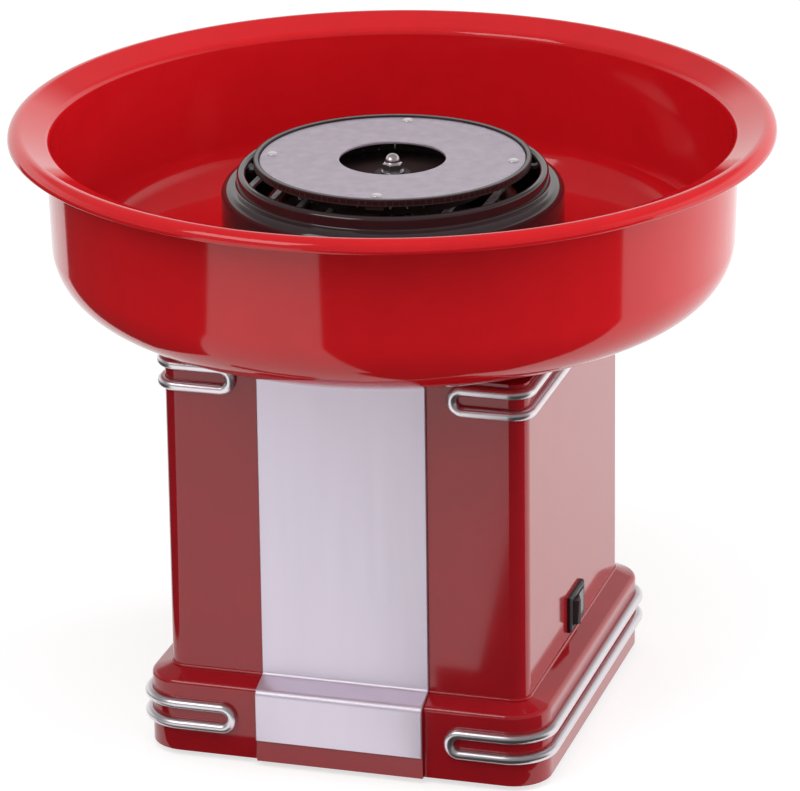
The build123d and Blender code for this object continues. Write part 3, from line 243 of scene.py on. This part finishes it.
def look(name, colour, rough, metallic=0.0, specular=0.5, shade=0.06, grain=400.0, bump=0.05,
         depth=0.02, stretch=(1, 1, 1), rough_vary=0.25, coat=0.0, wave=0.0):
    """Procedural material.

    colour is sRGB, 0 to 255. shade is how much the colour varies and rough_vary how much the
    roughness does. grain is the bump's scale per metre, bump its strength and depth its height in
    millimetres. stretch draws the grain out along an axis. wave is the height, in millimetres, of
    slow ripples that bend reflections."""
    material = bpy.data.materials.new(name + "_finish")
    material.use_nodes = True
    tree = material.node_tree
    shader = tree.nodes["Principled BSDF"]
    shader.inputs["Metallic"].default_value = metallic
    shader.inputs["Specular IOR Level"].default_value = specular
    shader.inputs["Coat Weight"].default_value = coat
    shader.inputs["Coat Roughness"].default_value = COAT_ROUGH
    where = tree.nodes.new("ShaderNodeTexCoord")
    placed = tree.nodes.new("ShaderNodeMapping")
    placed.inputs["Scale"].default_value = stretch
    tree.links.new(where.outputs["Object"], placed.inputs["Vector"])

    def noise(scale, detail=3.0):
        node = tree.nodes.new("ShaderNodeTexNoise")
        node.inputs["Scale"].default_value = scale
        node.inputs["Detail"].default_value = detail
        tree.links.new(placed.outputs["Vector"], node.inputs["Vector"])
        return node.outputs["Fac"]

    base = [linear(channel) for channel in colour]
    ramp = tree.nodes.new("ShaderNodeValToRGB")
    ramp.color_ramp.elements[0].position = 0.3
    ramp.color_ramp.elements[1].position = 0.7
    ramp.color_ramp.elements[0].color = [*(channel * (1 - shade) for channel in base), 1]
    ramp.color_ramp.elements[1].color = [*(min(1, channel * (1 + shade)) for channel in base), 1]
    tree.links.new(noise(grain / 12), ramp.inputs["Fac"])
    tree.links.new(ramp.outputs["Color"], shader.inputs["Base Color"])

    spread = tree.nodes.new("ShaderNodeMapRange")
    spread.inputs["To Min"].default_value = rough * (1 - rough_vary)
    spread.inputs["To Max"].default_value = rough * (1 + rough_vary)
    tree.links.new(noise(grain / 5), spread.inputs["Value"])
    tree.links.new(spread.outputs["Result"], shader.inputs["Roughness"])

    fine = tree.nodes.new("ShaderNodeBump")
    fine.inputs["Strength"].default_value = bump
    fine.inputs["Distance"].default_value = depth * MM
    tree.links.new(noise(grain, 2.0), fine.inputs["Height"])
    if wave:
        slow = tree.nodes.new("ShaderNodeBump")
        slow.inputs["Strength"].default_value = 1.0
        slow.inputs["Distance"].default_value = wave * MM
        tree.links.new(noise(22.0, 1.0), slow.inputs["Height"])
        tree.links.new(slow.outputs["Normal"], fine.inputs["Normal"])
    tree.links.new(fine.outputs["Normal"], shader.inputs["Normal"])
    return material


LOOKS = {
    "red_bowl": look("red_bowl", (204, 21, 29), 0.09, specular=0.4, shade=0.03, grain=900,
                     bump=0.04, depth=0.01, wave=0.02, coat=0.25),
    "red_housing": look("red_housing", (154, 18, 28), 0.1, specular=0.5, shade=0.04, grain=900,
                        bump=0.05, depth=0.01, wave=0.03, coat=0.25),
    # Its lilac cast is painted reflection of tinted surroundings, not the steel's own colour.
    "stripe_steel": look("stripe_steel", (222, 213, 227), 0.42, metallic=0.8, shade=0.008,
                         grain=1500, bump=0.03, depth=0.01, stretch=(1, 1, 0.06),
                         rough_vary=0.08),
    "chrome_wire": look("chrome_wire", (226, 220, 224), 0.3, metallic=1.0, shade=0.015, grain=1800,
                        bump=0.02, depth=0.004, rough_vary=0.06),
    # Near-white and only partly metallic: painted highlight on the rivet heads and painted light on
    # the heater grille's bars.
    "painted_highlight_steel": look("painted_highlight_steel", (232, 226, 229), 0.3, metallic=0.6, shade=0.04, grain=2500,
                         bump=0.1, depth=0.01),
    "screw_steel": look("screw_steel", (190, 188, 194), 0.28, metallic=1.0, shade=0.06, grain=2500,
                        bump=0.2, depth=0.01),
    "black_plastic": look("black_plastic", (26, 25, 27), 0.42, shade=0.15, grain=2600, bump=0.35,
                          depth=0.02),
    "rubber": look("rubber", (22, 22, 23), 0.75, specular=0.3, shade=0.2, grain=2200, bump=0.5,
                   depth=0.03),
    # Colour lifted above plain black: painted light in the drum's shaded neck.
    "black_gloss": look("black_gloss", (48, 34, 36), 0.08, specular=0.65, shade=0.1, grain=900,
                        bump=0.05, depth=0.01, wave=0.02),
    "copper": look("copper", (196, 118, 78), 0.32, metallic=1.0, shade=0.12, grain=1800, bump=0.3,
                   depth=0.02),
    "head_black": look("head_black", (36, 27, 29), 0.16, specular=0.6, shade=0.12, grain=1500,
                       bump=0.12, depth=0.01),
    # Brown lifted well above a dark coating: painted light for the flare in the head's shaded hole
    # and gap.
    "enamel_and_painted_light": look("enamel_and_painted_light", (58, 43, 43), 0.5, specular=0.3, shade=0.1, grain=1500,
                         bump=0.12, depth=0.01),
    # Its lilac cast is painted reflection of tinted surroundings, not the plate's own colour.
    "head_sheet": look("head_sheet", (208, 197, 210), 0.46, metallic=0.75, shade=0.07, grain=2200,
                       bump=0.5, depth=0.02),
    "sheet_steel": look("sheet_steel", (186, 180, 186), 0.36, metallic=1.0, shade=0.06, grain=1600,
                        bump=0.2, depth=0.01),
    "heater_tube": look("heater_tube", (168, 52, 44), 0.5, metallic=0.3, shade=0.2, grain=1400,
                        bump=0.4, depth=0.03),
    "ceramic": look("ceramic", (226, 218, 200), 0.5, shade=0.05, grain=1800, bump=0.3, depth=0.02),
    "bronze": look("bronze", (176, 128, 74), 0.4, metallic=1.0, shade=0.1, grain=2400, bump=0.4,
                   depth=0.02),
    "dark_iron": look("dark_iron", (62, 60, 62), 0.5, metallic=0.8, shade=0.15, grain=1600,
                      bump=0.4, depth=0.03),
    "board_green": look("board_green", (28, 88, 52), 0.38, shade=0.12, grain=1400, bump=0.2,
                        depth=0.02),
    "wire_cover": look("wire_cover", (150, 38, 34), 0.45, shade=0.08, grain=1500, bump=0.2,
                       depth=0.02),
}
SLOT_NODES = {
    "red_housing": ["base_plinth", "tower_housing", "top_deck"],
    "stripe_steel": ["front_stripe"],
    "chrome_wire": ["base_loop_left", "base_loop_right", "tower_loop_left", "tower_loop_right",
                    "acorn_nut"],
    "screw_steel": ["stripe_push_nuts", "loop_push_nuts", "base_screws", "tower_screws",
                    "deck_screws", "guard_screws", "bearing_screws",
                    "bracket_bolts", "bracket_nuts", "motor_screws", "motor_shaft",
                    "collar_set_screw", "hub_washer"],
    "painted_highlight_steel": ["head_rivets", "heater_grille"],
    "black_plastic": ["bottom_plate", "switch_housing", "cooling_fan", "board_posts"],
    "rubber": ["rubber_feet", "cord_gland", "bracket_grommets"],
    "black_gloss": ["switch_rocker", "head_guard"],
    "copper": ["switch_terminals", "armature_coils", "commutator"],
    "red_bowl": ["bowl"],
    "enamel_and_painted_light": ["heater_pan", "head_cup"],
    "sheet_steel": ["bearing_housing", "motor_bracket", "motor_front_cap",
                    "motor_rear_cap", "motor_can", "drive_collar"],
    "heater_tube": ["heater_ring"],
    "ceramic": ["heater_insulators", "terminal_block"],
    "bronze": ["upper_bush", "motor_bushes", "thrust_washers"],
    # The pan's pillars and their nuts take this dark look as painted shade, keeping the head's
    # shaded gap dark.
    "dark_iron": ["motor_magnets", "motor_brushes", "armature_core", "pan_pillars", "pillar_nuts"],
    "head_sheet": ["head_plate"],
    "board_green": ["rectifier_board"],
    "wire_cover": ["lead_wires"],
}
for slot_name, members in SLOT_NODES.items():
    for member in members:
        data = nodes[member].data
        data.materials.clear()
        data.materials.append(LOOKS[slot_name])
        data.shade_smooth()
        data.set_sharp_from_angle(angle=math.radians(SHARP_ANGLE))


# ---------------------------------------------------------------- bowl
def bowl_line():
    """Middle of the bowl's wall: floor, wide bend, tight bend, drafted wall, flange and hem."""
    half = BOWL_T / 2
    floor = Z_SEAT + half
    lean = math.atan2(WALL_DRAFT, WALL_H)
    top = Vector(WALL_TOP)
    foot = top - Vector((WALL_DRAFT, WALL_H))
    near = foot - Vector((WALL_BEND * math.cos(lean), -WALL_BEND * math.sin(lean)))
    across = near.x - BOWL_FLAT
    drop = near.y - WALL_BEND - floor
    turn = math.radians(90) - 2 * math.atan2(drop, across)
    wide = WALL_BEND + across / math.cos(turn)
    far = Vector((BOWL_FLAT, floor + wide))

    def arc(centre, radius, first, last, count):
        angles = [first + (last - first) * k / count for k in range(count + 1)]
        return [centre + Vector((math.cos(a), -math.sin(a))) * radius for a in angles]

    line = [Vector((DRUM_R + HOLE_GAP + half, floor))]
    line += arc(far, wide, math.radians(90), turn, 22)
    line += arc(near, WALL_BEND, turn, lean, 24)[1:]
    hem = Vector((RIM_R - half, top.y + FLANGE_RISE))
    edge = rounded([(*foot, 0), (*top, 2.5), (*hem, 3.1), (hem.x, hem.y - HEM_DROP, 0)],
                   closed=False, step=7)
    line += [foot.lerp(edge[1], 0.5), *edge[1:]]
    return line


bowl_mesh = grid_mesh("bowl_shell", turned_rows(thickened(bowl_line(), BOWL_T / 2)), True, True)
piece("bowl_shell", bowl_mesh, "bowl", "red_bowl", ["bowl"])

# ---------------------------------------------------------------- drum round the head
guard_outline = rounded([
    (DRUM_FOOT, Z_SEAT, 0.4), (DRUM_R, Z_SEAT, 0.5), (DRUM_R, Z_STEP, 4.0), (LIP_R, Z_STEP, 0.9),
    (LIP_R, Z_LIP, 1.5), (LIP_R - LIP_T, Z_LIP, 1.5), (LIP_R - LIP_T, Z_STEP - DRUM_T, 0.4),
    (DRUM_R - DRUM_T, Z_STEP - DRUM_T, 0.8), (DRUM_R - DRUM_T, Z_SEAT + 2.5, 0.8),
    (DRUM_FOOT, Z_SEAT + 2.5, 0.4)])
piece("drum_shell", grid_mesh("drum_shell", turned_rows(guard_outline), True, True),
      "housing", "black_gloss", ["head_guard"])

# ---------------------------------------------------------------- spinning head
low, high = Z_RING
rim_outline = rounded([(RING_IN, low, 0.5), (RING_R, low, 0.6), (RING_R, high, 0.65),
                       (RING_IN, high, 0.5)])
piece("head_rim", grid_mesh("head_rim", turned_rows(rim_outline), True, True), "rotor",
      "head_black")
low, high = Z_PLATE
plate_outline = rounded([(PLATE_HOLE, low, 0.3), (PLATE_R, low, 0.3), (PLATE_R, high, 0.4),
                         (PLATE_HOLE, high, 0.45)])
piece("plate_disc", grid_mesh("plate_disc", turned_rows(plate_outline), True, True), "rotor",
      "head_sheet", ["head_plate"])

# outline of a rivet: its tail under the cup, its stem, and its low domed head on the plate
rivet_outline = rounded([(0.0, 223.6, 0), (2.0, 223.6, 0.3), (2.0, 224.5, 0.1), (1.2, 224.5, 0),
                         (1.2, high, 0), (RIVET_R, high, 0.08), (1.95, 228.7, 0.3),
                         (1.3, 229.02, 0.5), (0.0, 229.12, 0)], step=15)
rivet_meshes = []
for number in range(RIVETS):
    angle = math.radians(RIVET_TURN + 360 / RIVETS * number)
    rows = turned_rows(rivet_outline, SMALL_SIDES, RIVET_AT * math.cos(angle),
                       RIVET_AT * math.sin(angle))
    rivet_meshes.append(grid_mesh("rivet", rows, True, True))
# The rivet heads take the steel look with its painted highlights.
piece("rivet_heads", joined("rivet_heads", rivet_meshes), "rotor", "screw_steel", ["head_rivets"],
      finish="painted_highlight_steel")

washer_top = Z_HUB + WASHER_T
washer_outline = rounded([(NUT_BORE, Z_HUB, 0.1), (WASHER_R, Z_HUB, 0.15),
                          (WASHER_R, washer_top, 0.25), (NUT_BORE, washer_top, 0.1)])
piece("washer_ring", grid_mesh("washer_ring", turned_rows(washer_outline, 64), True, True),
      "rotor", "screw_steel", ["hub_washer"])


def hex_reach(angle):
    """Distance from the middle of the nut's hexagon to its edge."""
    return NUT_FLAT / math.cos((angle + math.radians(30)) % math.radians(60) - math.radians(30))


nut_outline = rounded([(0.0, washer_top, 0), (NUT_FLAT, washer_top, 0.05),
                       (NUT_POINT, 223.35, 0.05), (NUT_POINT, 225.85, 0.05), (3.35, 226.2, 0.25),
                       (DOME_R, 226.35, 0.3)], closed=False)
dome = [Vector((DOME_R * math.cos(a), Z_DOME + DOME_R * math.sin(a)))
        for a in (math.radians(d) for d in range(0, 90, 6))] + [Vector((0.0, Z_DOME + DOME_R))]
piece("cap_nut", grid_mesh("cap_nut", turned_rows(nut_outline + dome, 120, reach=hex_reach), True,
                           True), "rotor", "chrome_wire", ["acorn_nut"])


# ---------------------------------------------------------------- chrome wires
def swept(name, points, radius):
    """Round bar of a radius along a closed run of points with rounded corners."""
    line = bpy.data.curves.new(name, "CURVE")
    line.dimensions = "3D"
    line.bevel_depth = radius * MM
    line.bevel_resolution = 8
    spline = line.splines.new("POLY")
    path = rounded(points, step=5)
    spline.points.add(len(path) - 1)
    for place, point in enumerate(path):
        spline.points[place].co = (*(point * MM), 1)
    spline.use_cyclic_u = True
    spline.use_smooth = True
    holder = bpy.data.objects.new(name + "_line", line)
    bpy.context.scene.collection.objects.link(holder)
    bpy.context.view_layer.update()
    mesh = bpy.data.meshes.new_from_object(holder)
    mesh.name = name
    mesh.materials.clear()
    bpy.data.objects.remove(holder)
    tidy(mesh)
    return mesh


def wire_loop(name, node, side, reach, z_low):
    """One loop of two parallel wires round a side, with rounded ends on front and back."""
    corner = reach + WIRE_PROUD
    face = CORNER_CENTRE + corner
    run = [(LOOP_START, -face, LOOP_TIP), (face, -face, corner), (face, face, corner),
           (LOOP_START, face, LOOP_TIP)]
    points = [(side * x, y, z_low, radius) for x, y, radius in run]
    points += [(side * x, y, z_low + LOOP_PITCH, radius) for x, y, radius in reversed(run)]
    piece(name, swept(name, points, WIRE_R), "housing", "chrome_wire", [node], weighted=False)


for side, word in ((1, "right"), (-1, "left")):
    wire_loop(f"plinth_wire_{word}", f"base_loop_{word}", side, PLINTH_CORNER, Z_PLINTH_WIRE)
    wire_loop(f"tower_wire_{word}", f"tower_loop_{word}", side, TOWER_CORNER, Z_TOWER_WIRE)


# ---------------------------------------------------------------- bead round the tower's foot
ring = [(x * TOWER_FACE, y * TOWER_FACE, Z_TOWER + BEAD_LIFT, TOWER_CORNER)
        for x, y in ((-1, -1), (1, -1), (1, 1), (-1, 1))]
piece("foot_bead", swept("foot_bead", ring, BEAD_R), "housing", "red_housing", weighted=False)


# ---------------------------------------------------------------- front stripe
def bent_sheet(name, line, half_width, thickness, edge):
    """Sheet that follows a (y, height) line, as wide as given along X, with rounded edges."""
    total = [0.0]
    for a, b in zip(line, line[1:]):
        total.append(total[-1] + (b - a).length)
    insets = [edge * (1 - math.cos(math.radians(d))) for d in (0, 22, 45, 67, 90)]
    across = [-half_width + v for v in insets] + [half_width - v for v in reversed(insets)]

    def rise(distance):
        lack = max(0.0, 1 - distance / edge)
        return thickness / 2 - edge + edge * math.sqrt(max(0.0, 1 - lack * lack))

    front, back = [], []
    for place, point in enumerate(line):
        normal = side_of(line, place)
        end = min(total[place], total[-1] - total[place])
        for rows, sign in ((front, 1), (back, -1)):
            row = []
            for x in across:
                spot = point + normal * sign * min(rise(half_width - abs(x)), rise(end))
                row.append((x, spot.x, spot.y))
            rows.append(row)
    rows = [f + b[::-1] for f, b in zip(front, back)]
    mesh = grid_mesh(name, rows, False, True)
    shape = bmesh.new()
    shape.from_mesh(mesh)
    bmesh.ops.holes_fill(shape, edges=[e for e in shape.edges if e.is_boundary])
    shape.to_mesh(mesh)
    shape.free()
    tidy(mesh)
    return mesh


def dense_ends(line, edge):
    """The same line with extra points near its two ends, where its edges are rounded."""
    steps = [edge * (1 - math.cos(math.radians(d))) for d in (22, 45, 67, 90)]
    first, last = (line[1] - line[0]).normalized(), (line[-2] - line[-1]).normalized()
    return ([line[0]] + [line[0] + first * s for s in steps] + line[1:-1]
            + [line[-1] + last * s for s in reversed(steps)] + [line[-1]])


mid = STRIPE_T / 2
stripe_line = rounded([(-TOWER_FACE - mid, STRIPE_TOP, 0),
                       (-TOWER_FACE - mid, Z_TOWER + STRIPE_LIFT, STRIPE_BEND),
                       (-BOSS_FACE - mid, Z_BOSS, STRIPE_BEND),
                       (-BOSS_FACE - mid, STRIPE_FOOT, 0)], closed=False, step=5)
stripe_mesh = bent_sheet("stripe_sheet", dense_ends(stripe_line, STRIPE_EDGE), STRIPE_W / 2,
                         STRIPE_T, STRIPE_EDGE)
piece("stripe_sheet", stripe_mesh, "housing", "stripe_steel", ["front_stripe"])


# ---------------------------------------------------------------- camera, light and floor
def camera(azimuth, elevation, roll, lens, distance, target_height, aside):
    """Camera of the photograph. Angles in degrees, lengths in millimetres."""
    azimuth, elevation, roll = (math.radians(a) for a in (azimuth, elevation, roll))
    back = Vector((math.sin(azimuth) * math.cos(elevation),
                   -math.cos(azimuth) * math.cos(elevation), math.sin(elevation)))
    right = Vector((math.cos(azimuth), math.sin(azimuth), 0))
    up = back.cross(right)
    across = right * math.cos(roll) + up * math.sin(roll)
    above = up * math.cos(roll) - right * math.sin(roll)
    eye = bpy.data.objects.new("camera", bpy.data.cameras.new("camera"))
    eye.data.lens = lens
    eye.data.sensor_width = 36
    place = (Vector((0, 0, target_height)) + right * aside + back * distance) * MM
    rows = [[*triple] for triple in zip(across, above, back)]
    eye.matrix_world = Matrix([[*rows[0], place.x], [*rows[1], place.y], [*rows[2], place.z],
                               [0, 0, 0, 1]])
    bpy.context.scene.collection.objects.link(eye)
    bpy.context.scene.camera = eye


def softbox(name, place, target, width, height, watts, mirrored=True):
    """Large soft area light that faces a point, in metres. Unmirrored, no reflection shows it."""
    light = bpy.data.lights.new(name, "AREA")
    light.shape = "RECTANGLE"
    light.size = width
    light.size_y = height
    light.energy = watts
    lamp = bpy.data.objects.new(name, light)
    lamp.visible_glossy = mirrored
    lamp.location = place
    lamp.rotation_euler = (Vector(target) - Vector(place)).to_track_quat("-Z", "Y").to_euler()
    bpy.context.scene.collection.objects.link(lamp)


def seen_rays(tree, *kinds):
    """1 for the named kinds of ray, 0 for all others."""
    path = tree.nodes.new("ShaderNodeLightPath")
    total = path.outputs[kinds[0]]
    for word in kinds[1:]:
        more = tree.nodes.new("ShaderNodeMath")
        more.operation = "MAXIMUM"
        tree.links.new(total, more.inputs[0])
        tree.links.new(path.outputs[word], more.inputs[1])
        total = more.outputs[0]
    return total


def surroundings(level, front):
    """White background to the eye, and an even soft light of the given level on the object.

    Reflections see the same white low down behind the object, and a dimmer room elsewhere."""
    world = bpy.data.worlds.new("studio")
    world.use_nodes = True
    tree = world.node_tree
    tree.nodes.clear()

    def background(strength):
        node = tree.nodes.new("ShaderNodeBackground")
        node.inputs["Color"].default_value = (1, 1, 1, 1)
        node.inputs["Strength"].default_value = strength
        return node

    soft, room, white = background(level), background(1.0), background(1.0)
    where = tree.nodes.new("ShaderNodeTexCoord")
    parts = tree.nodes.new("ShaderNodeSeparateXYZ")
    tree.links.new(where.outputs["Generated"], parts.inputs["Vector"])

    def faded(axis, start, end, first, last):
        """A value that goes from first to last as the ray's direction goes from start to end."""
        node = tree.nodes.new("ShaderNodeMapRange")
        for socket, value in (("From Min", start), ("From Max", end), ("To Min", first),
                              ("To Max", last)):
            node.inputs[socket].default_value = value
        tree.links.new(parts.outputs[axis], node.inputs["Value"])
        return node.outputs["Result"]

    both = tree.nodes.new("ShaderNodeMath")
    both.operation = "MULTIPLY_ADD"
    tree.links.new(faded("Y", -0.25, 0.35, 0.0, 1.0 - front), both.inputs[0])
    tree.links.new(faded("Z", 0.38, 0.5, 1.0, 0.0), both.inputs[1])
    both.inputs[2].default_value = front
    tree.links.new(both.outputs[0], room.inputs["Strength"])
    mirrored = tree.nodes.new("ShaderNodeMixShader")
    tree.links.new(seen_rays(tree, "Is Glossy Ray", "Is Transmission Ray"), mirrored.inputs["Fac"])
    tree.links.new(soft.outputs[0], mirrored.inputs[1])
    tree.links.new(room.outputs[0], mirrored.inputs[2])
    either = tree.nodes.new("ShaderNodeMixShader")
    tree.links.new(seen_rays(tree, "Is Camera Ray"), either.inputs["Fac"])
    tree.links.new(mirrored.outputs[0], either.inputs[1])
    tree.links.new(white.outputs[0], either.inputs[2])
    out = tree.nodes.new("ShaderNodeOutputWorld")
    tree.links.new(either.outputs[0], out.inputs["Surface"])
    bpy.context.scene.world = world


def floor():
    """Plain white floor that keeps the object's shadow and can be looked through from below.

    What it casts back on the object is dimmer than what the eye and mirrors see of it."""
    reach, cast_back, seen, glow_level = 6.0, 0.45, 0.45, 0.66
    mesh = bpy.data.meshes.new("floor")
    mesh.from_pydata([(-reach, -reach, 0), (reach, -reach, 0), (reach, reach, 0),
                      (-reach, reach, 0)], [], [(0, 1, 2, 3)])
    material = bpy.data.materials.new("floor_white")
    material.use_nodes = True
    tree = material.node_tree
    tree.nodes.clear()
    plain = tree.nodes.new("ShaderNodeBsdfDiffuse")
    plain.inputs["Color"].default_value = (cast_back, cast_back, cast_back, 1)
    matt = tree.nodes.new("ShaderNodeBsdfDiffuse")
    matt.inputs["Color"].default_value = (seen, seen, seen, 1)
    glow = tree.nodes.new("ShaderNodeEmission")
    glow.inputs["Color"].default_value = (1, 1, 1, 1)
    glow.inputs["Strength"].default_value = glow_level
    lit = tree.nodes.new("ShaderNodeAddShader")
    tree.links.new(matt.outputs[0], lit.inputs[0])
    tree.links.new(glow.outputs[0], lit.inputs[1])
    either = tree.nodes.new("ShaderNodeMixShader")
    tree.links.new(seen_rays(tree, "Is Camera Ray", "Is Glossy Ray", "Is Transmission Ray"),
                   either.inputs["Fac"])
    tree.links.new(plain.outputs[0], either.inputs[1])
    tree.links.new(lit.outputs[0], either.inputs[2])
    clear = tree.nodes.new("ShaderNodeBsdfTransparent")
    side = tree.nodes.new("ShaderNodeNewGeometry")
    through = tree.nodes.new("ShaderNodeMixShader")
    tree.links.new(side.outputs["Backfacing"], through.inputs["Fac"])
    tree.links.new(either.outputs[0], through.inputs[1])
    tree.links.new(clear.outputs[0], through.inputs[2])
    out = tree.nodes.new("ShaderNodeOutputMaterial")
    tree.links.new(through.outputs[0], out.inputs["Surface"])
    mesh.materials.append(material)
    plane = bpy.data.objects.new("floor", mesh)
    bpy.context.scene.collection.objects.link(plane)


def dark_card(name, corners):
    """Dark card on the floor, in metres, that only mirror rays meet, as a dark room would show; the
    cards close in front of the plinth are painted shadow instead.
    """
    lift = 0.3 * MM
    mesh = bpy.data.meshes.new(name)
    mesh.from_pydata([(x, y, lift) for x, y in corners], [], [tuple(range(len(corners)))])
    material = bpy.data.materials.new(name)
    material.use_nodes = True
    shader = material.node_tree.nodes["Principled BSDF"]
    shader.inputs["Base Color"].default_value = (0.03, 0.028, 0.028, 1)
    shader.inputs["Roughness"].default_value = 0.9
    mesh.materials.append(material)
    card = bpy.data.objects.new(name, mesh)
    bpy.context.scene.collection.objects.link(card)
    card.visible_camera = False
    card.visible_diffuse = False
    card.visible_shadow = False


camera(16.59, 20.65, -0.74, lens=239.11, distance=2112.83, target_height=128.75, aside=1.73)
surroundings(0.56, 0.28)
floor()
dark_card("card_right", [(0.03, -0.15), (-0.49, -3.0), (2.9, -3.0), (3.0, 0.3), (0.118, -0.06)])
dark_card("card_left", [(-0.16, -0.14), (-0.2, 0.0), (-2.7, 1.7), (-3.1, -0.4), (-2.0, -2.5)])
# These two cards just in front of the plinth are painted shadow: the object's shadow on the floor
# as mirrors see it.
dark_card("shadow_card_front", [(0.034, -0.0845), (0.09, -0.0845), (0.09, -0.175), (0.007, -0.175)])
dark_card("shadow_card_foot", [(-0.12, -0.0845), (-0.036, -0.0845), (-0.042, -0.105), (-0.12, -0.105)])
softbox("key_light", (-0.9, -1.5, 1.5), (0, 0, 0.15), 1.2, 0.9, 11)
softbox("side_light", (1.7, 0.5, 0.6), (0, 0, 0.12), 1.4, 1.2, 24, mirrored=False)
softbox("top_light", (0.0, -0.7, 1.75), (0, 0, 0.2), 1.4, 1.0, 10, mirrored=False)
bpy.context.scene.view_settings.view_transform = "Standard"
